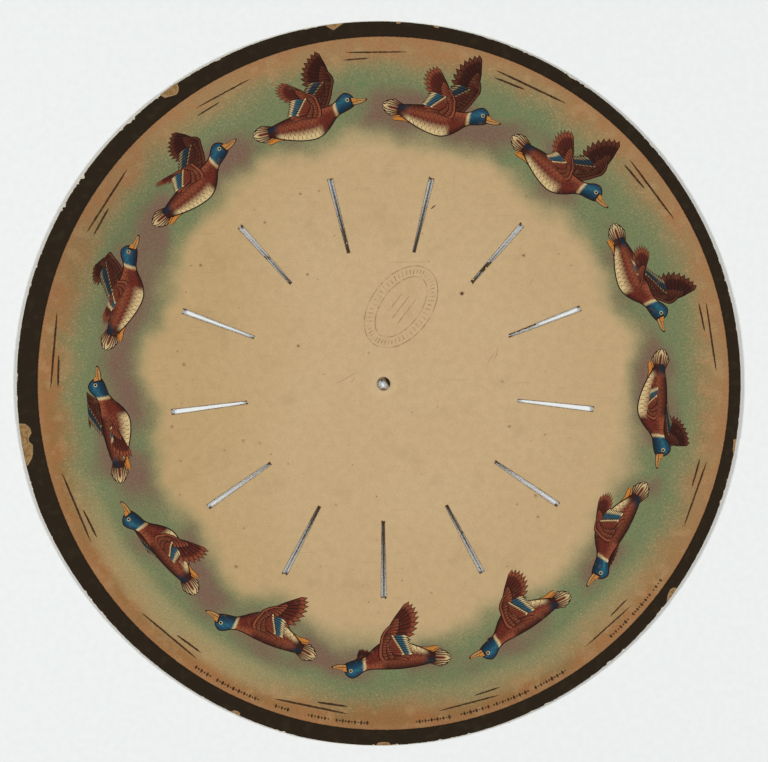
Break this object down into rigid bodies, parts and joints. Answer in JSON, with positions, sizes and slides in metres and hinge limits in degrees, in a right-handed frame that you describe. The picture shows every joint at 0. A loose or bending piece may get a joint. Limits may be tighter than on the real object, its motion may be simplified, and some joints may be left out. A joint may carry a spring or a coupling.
{
  "type": "slotted picture disc",
  "caption": "Round pasteboard picture disc with a central spindle hole and a ring of radial viewing slots, for a spinning-picture viewer.",
  "frame": {"origin": "on the spindle hole's axis, at the disc's underside", "axes": "+Z out of the printed face along the spindle hole's axis; +Y towards the top of the picture; +X towards its right"},
  "size_m": [0.305, 0.305, 0.0016],
  "materials": {
    "lining_paper": "matte",
    "pasteboard": "matte",
    "printed_paper": "matte"
  },
  "bodies": {
    "root": {"back_sheet": "lining_paper", "board_ply_1": "pasteboard", "board_ply_2": "pasteboard", "board_ply_3": "pasteboard", "board_ply_4": "pasteboard", "face_sheet": "printed_paper"}
  },
  "joints": []
}
